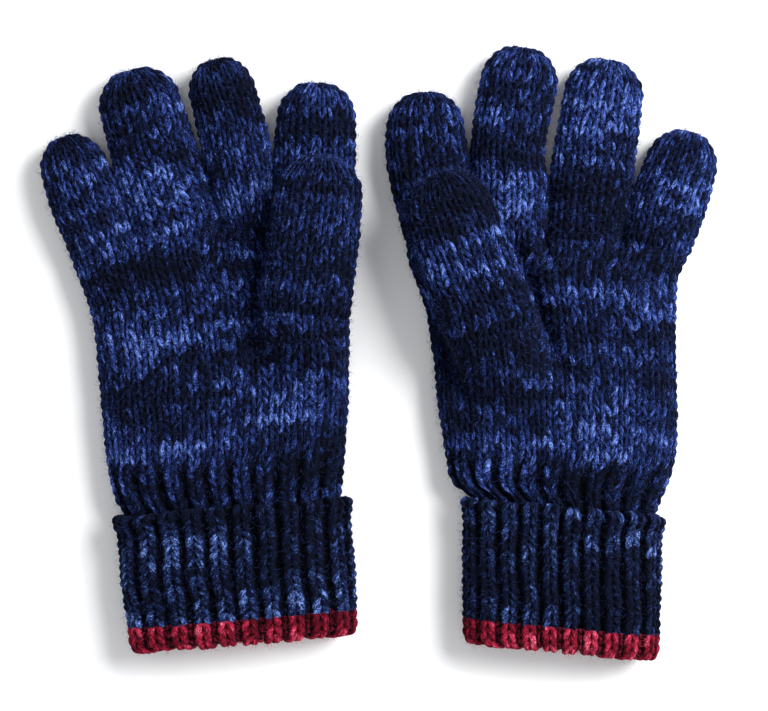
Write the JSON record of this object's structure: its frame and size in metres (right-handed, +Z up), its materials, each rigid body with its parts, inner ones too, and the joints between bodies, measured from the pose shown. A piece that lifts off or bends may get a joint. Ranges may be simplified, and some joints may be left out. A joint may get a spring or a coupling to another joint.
{
  "type": "touchscreen gloves",
  "caption": "Pair of knitted full-finger gloves with turned-up ribbed cuffs, a coloured hem, and conductive yarn caps inside the thumb and index fingertips.",
  "frame": {"origin": "middle of the footprint of the pair, on the surface that the gloves lie on", "axes": "+X across the pair towards the left-hand glove, +Y towards the fingertips, +Z up, away from the surface; both gloves lie with the palm up"},
  "size_m": [0.2598, 0.2328, 0.0354],
  "materials": {
    "blue_marl": "stocking-stitch knit in space-dyed navy, black and royal blue marl yarn, matt and slightly fuzzy",
    "cuff_marl": "one by one rib in the same yarn, darker in its furrows",
    "red_yarn": "ribbed fold in crimson marl yarn",
    "conductive_yarn": "fine grey knit with a faint metallic glint"
  },
  "bodies": {
    "right_hand": {"right_hand": "blue_marl", "right_index_base": "blue_marl"},
    "right_cuff": {"right_wrist_rib": "cuff_marl", "right_turned_cuff": "cuff_marl", "right_red_hem": "red_yarn"},
    "right_little": {"right_little_base": "blue_marl"},
    "right_little_tip": {"right_little_end": "blue_marl"},
    "right_ring": {"right_ring_base": "blue_marl"},
    "right_ring_tip": {"right_ring_end": "blue_marl"},
    "right_middle": {"right_middle_base": "blue_marl"},
    "right_middle_tip": {"right_middle_end": "blue_marl"},
    "right_index_tip": {"right_index_end": "blue_marl", "right_index_contact": "conductive_yarn"},
    "right_thumb": {"right_thumb_base": "blue_marl"},
    "right_thumb_tip": {"right_thumb_end": "blue_marl", "right_thumb_contact": "conductive_yarn"},
    "left_hand": {"left_hand": "blue_marl", "left_middle_base": "blue_marl", "left_index_base": "blue_marl"},
    "left_cuff": {"left_wrist_rib": "cuff_marl", "left_turned_cuff": "cuff_marl", "left_red_hem": "red_yarn"},
    "left_little": {"left_little_base": "blue_marl"},
    "left_little_tip": {"left_little_end": "blue_marl"},
    "left_ring": {"left_ring_base": "blue_marl"},
    "left_ring_tip": {"left_ring_end": "blue_marl"},
    "left_middle_tip": {"left_middle_end": "blue_marl"},
    "left_index_tip": {"left_index_end": "blue_marl", "left_index_contact": "conductive_yarn"},
    "left_thumb": {"left_thumb_base": "blue_marl"},
    "left_thumb_tip": {"left_thumb_end": "blue_marl", "left_thumb_contact": "conductive_yarn"}
  },
  "joints": [
    {"name": "right_wrist_bend", "type": "hinge", "parent": "right_hand", "child": "right_cuff", "pos_m": [-0.0557, -0.05911, 0.0195], "axis": [-0.9968, -0.0802, 0], "range_deg": [0, 35]},
    {"name": "right_little_curl", "type": "hinge", "parent": "right_hand", "child": "right_little", "pos_m": [-0.10793, 0.04808, 0.017], "axis": [0.9336, 0.3584, 0], "range_deg": [0, 60]},
    {"name": "right_little_bend", "type": "hinge", "parent": "right_little", "child": "right_little_tip", "pos_m": [-0.11402, 0.06395, 0.017], "axis": [0.9367, 0.3502, 0], "range_deg": [0, 70]},
    {"name": "right_ring_curl", "type": "hinge", "parent": "right_hand", "child": "right_ring", "pos_m": [-0.07789, 0.05176, 0.017], "axis": [0.9532, 0.3024, 0], "range_deg": [0, 42]},
    {"name": "right_ring_bend", "type": "hinge", "parent": "right_ring", "child": "right_ring_tip", "pos_m": [-0.08545, 0.07559, 0.017], "axis": [0.9563, 0.2924, 0], "range_deg": [0, 60]},
    {"name": "right_middle_curl", "type": "hinge", "parent": "right_hand", "child": "right_middle", "pos_m": [-0.0503, 0.05515, 0.017], "axis": [0.9848, 0.1736, 0], "range_deg": [0, 42]},
    {"name": "right_middle_bend", "type": "hinge", "parent": "right_middle", "child": "right_middle_tip", "pos_m": [-0.05421, 0.0773, 0.017], "axis": [0.9782, 0.2078, 0], "range_deg": [0, 60]},
    {"name": "right_index_bend", "type": "hinge", "parent": "right_hand", "child": "right_index_tip", "pos_m": [-0.02428, 0.08136, 0.017], "axis": [0.9997, -0.0262, 0], "range_deg": [0, 70]},
    {"name": "right_thumb_lift", "type": "hinge", "parent": "right_hand", "child": "right_thumb", "pos_m": [-0.0265, 0.02089, 0.0354], "axis": [0.9934, -0.1149, 0], "range_deg": [0, 50]},
    {"name": "right_thumb_bend", "type": "hinge", "parent": "right_thumb", "child": "right_thumb_tip", "pos_m": [-0.02351, 0.04672, 0.0346], "axis": [0.9934, -0.1149, 0], "range_deg": [0, 50]},
    {"name": "left_glove_slide", "type": "slide", "parent": "right_hand", "child": "left_hand", "axis": [1, 0, 0], "range_m": [0, 0.3]},
    {"name": "left_wrist_bend", "type": "hinge", "parent": "left_hand", "child": "left_cuff", "pos_m": [0.0703, -0.05911, 0.0195], "axis": [-0.9956, 0.0941, 0], "range_deg": [0, 35]},
    {"name": "left_little_curl", "type": "hinge", "parent": "left_hand", "child": "left_little", "pos_m": [0.10764, 0.04626, 0.017], "axis": [0.9542, -0.299, 0], "range_deg": [0, 60]},
    {"name": "left_little_bend", "type": "hinge", "parent": "left_little", "child": "left_little_tip", "pos_m": [0.11272, 0.06248, 0.017], "axis": [0.9537, -0.3007, 0], "range_deg": [0, 70]},
    {"name": "left_ring_curl", "type": "hinge", "parent": "left_hand", "child": "left_ring", "pos_m": [0.07933, 0.04773, 0.017], "axis": [0.9936, -0.1132, 0], "range_deg": [0, 60]},
    {"name": "left_ring_bend", "type": "hinge", "parent": "left_ring", "child": "left_ring_tip", "pos_m": [0.08227, 0.07356, 0.017], "axis": [0.9915, -0.1305, 0], "range_deg": [0, 70]},
    {"name": "left_middle_bend", "type": "hinge", "parent": "left_hand", "child": "left_middle_tip", "pos_m": [0.05048, 0.07824, 0.017], "axis": [0.9979, -0.0653, 0], "range_deg": [0, 70]},
    {"name": "left_index_bend", "type": "hinge", "parent": "left_hand", "child": "left_index_tip", "pos_m": [0.01848, 0.07631, 0.017], "axis": [0.9936, 0.1132, 0], "range_deg": [0, 70]},
    {"name": "left_thumb_lift", "type": "hinge", "parent": "left_hand", "child": "left_thumb", "pos_m": [0.0417, 0.01289, 0.0354], "axis": [0.9367, 0.3502, 0], "range_deg": [0, 50]},
    {"name": "left_thumb_bend", "type": "hinge", "parent": "left_thumb", "child": "left_thumb_tip", "pos_m": [0.03224, 0.03818, 0.0346], "axis": [0.9367, 0.3502, 0], "range_deg": [0, 50]}
  ]
}
